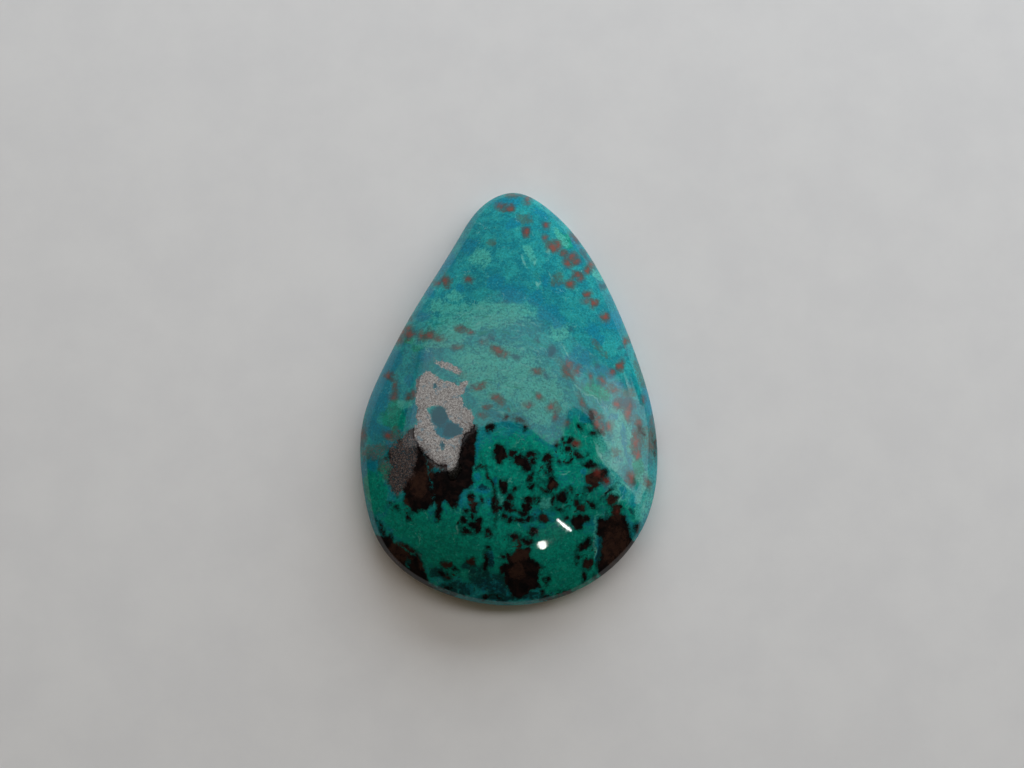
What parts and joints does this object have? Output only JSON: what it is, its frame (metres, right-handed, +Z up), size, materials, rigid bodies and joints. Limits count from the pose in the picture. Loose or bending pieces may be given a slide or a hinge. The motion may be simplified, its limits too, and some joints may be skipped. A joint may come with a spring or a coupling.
{
  "type": "chrysocolla cabochon",
  "caption": "Polished pear-shaped chrysocolla cabochon with a softly uneven dome, a low wall and a flat back.",
  "frame": {"origin": "middle of the flat back, on the surface that the stone lies on", "axes": "+Z up out of the dome, +Y towards the narrow rounded point, +X to the right seen from above"},
  "size_m": [0.0299, 0.0425, 0.0067],
  "materials": {
    "polished_chrysocolla": "polished"
  },
  "bodies": {
    "root": {"cabochon": "polished_chrysocolla"}
  },
  "joints": []
}
